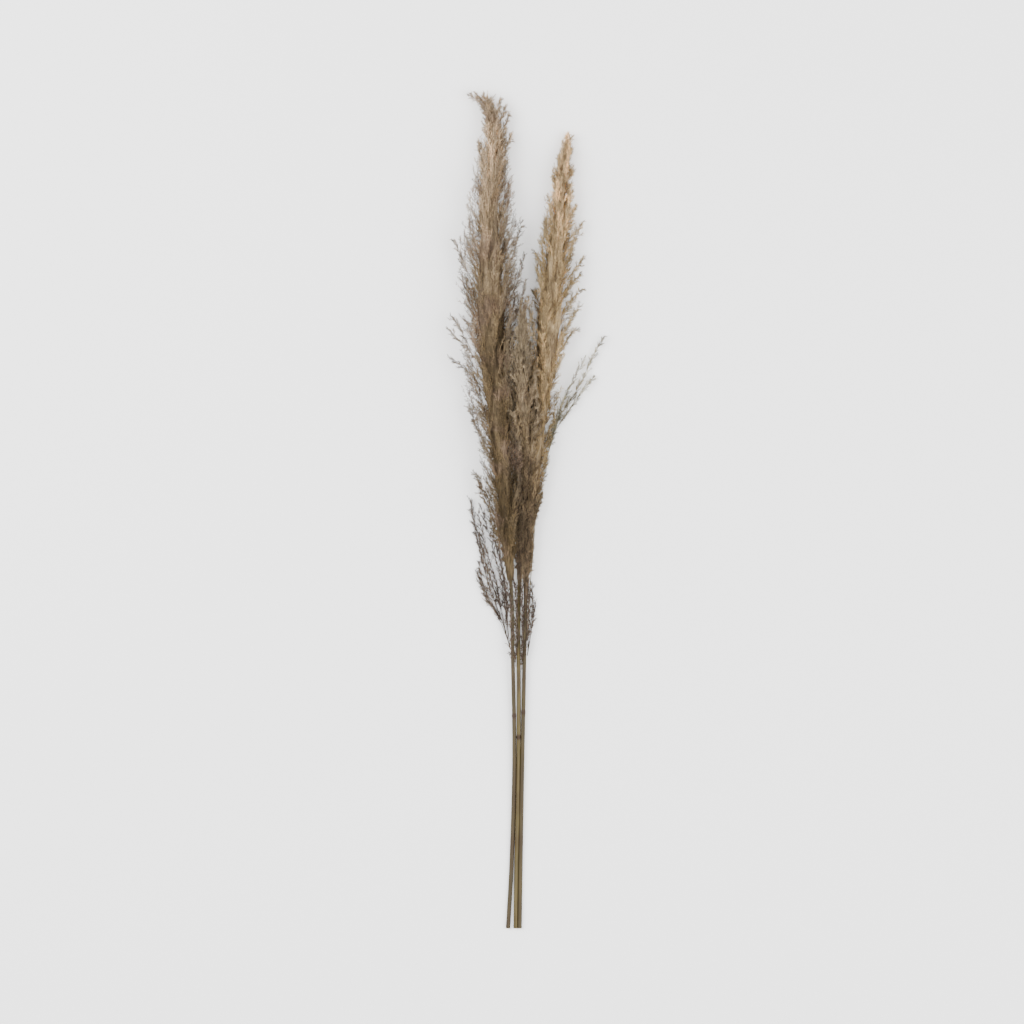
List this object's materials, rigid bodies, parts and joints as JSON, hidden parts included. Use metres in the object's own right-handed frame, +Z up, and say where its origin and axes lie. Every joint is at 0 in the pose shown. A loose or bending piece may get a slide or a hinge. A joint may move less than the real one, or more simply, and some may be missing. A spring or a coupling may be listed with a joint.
{
  "type": "pampas grass bundle",
  "caption": "Bunch of cut and dried pampas grass lying flat: straight slender stems under long feathery plumes that fan apart, with thin loose sprays beside them.",
  "frame": {"origin": "under the middle of the bunch's box, on the surface that it lies on", "axes": "+Y along the bunch from the cut ends to the plume tips, +Z up from the surface, +X to the right seen from above with the tips away"},
  "size_m": [0.2336, 1.1998, 0.0814],
  "materials": {
    "stem": "dry, smooth and dull, straw brown",
    "plume_taupe": "soft matt plant fibres, taupe with olive tan inside",
    "plume_sand": "soft matt plant fibres, golden sand",
    "plume_brown": "soft matt plant fibres, grey brown",
    "spray": "thin matt plant fibres, grey green"
  },
  "bodies": {
    "root": {"stem_left": "stem", "stem_right": "stem", "stem_middle": "stem", "plume_left": "plume_taupe", "plume_right": "plume_sand", "plume_middle": "plume_brown", "spray_side": "spray", "spray_low_left": "spray", "spray_low_right": "spray"}
  },
  "joints": []
}
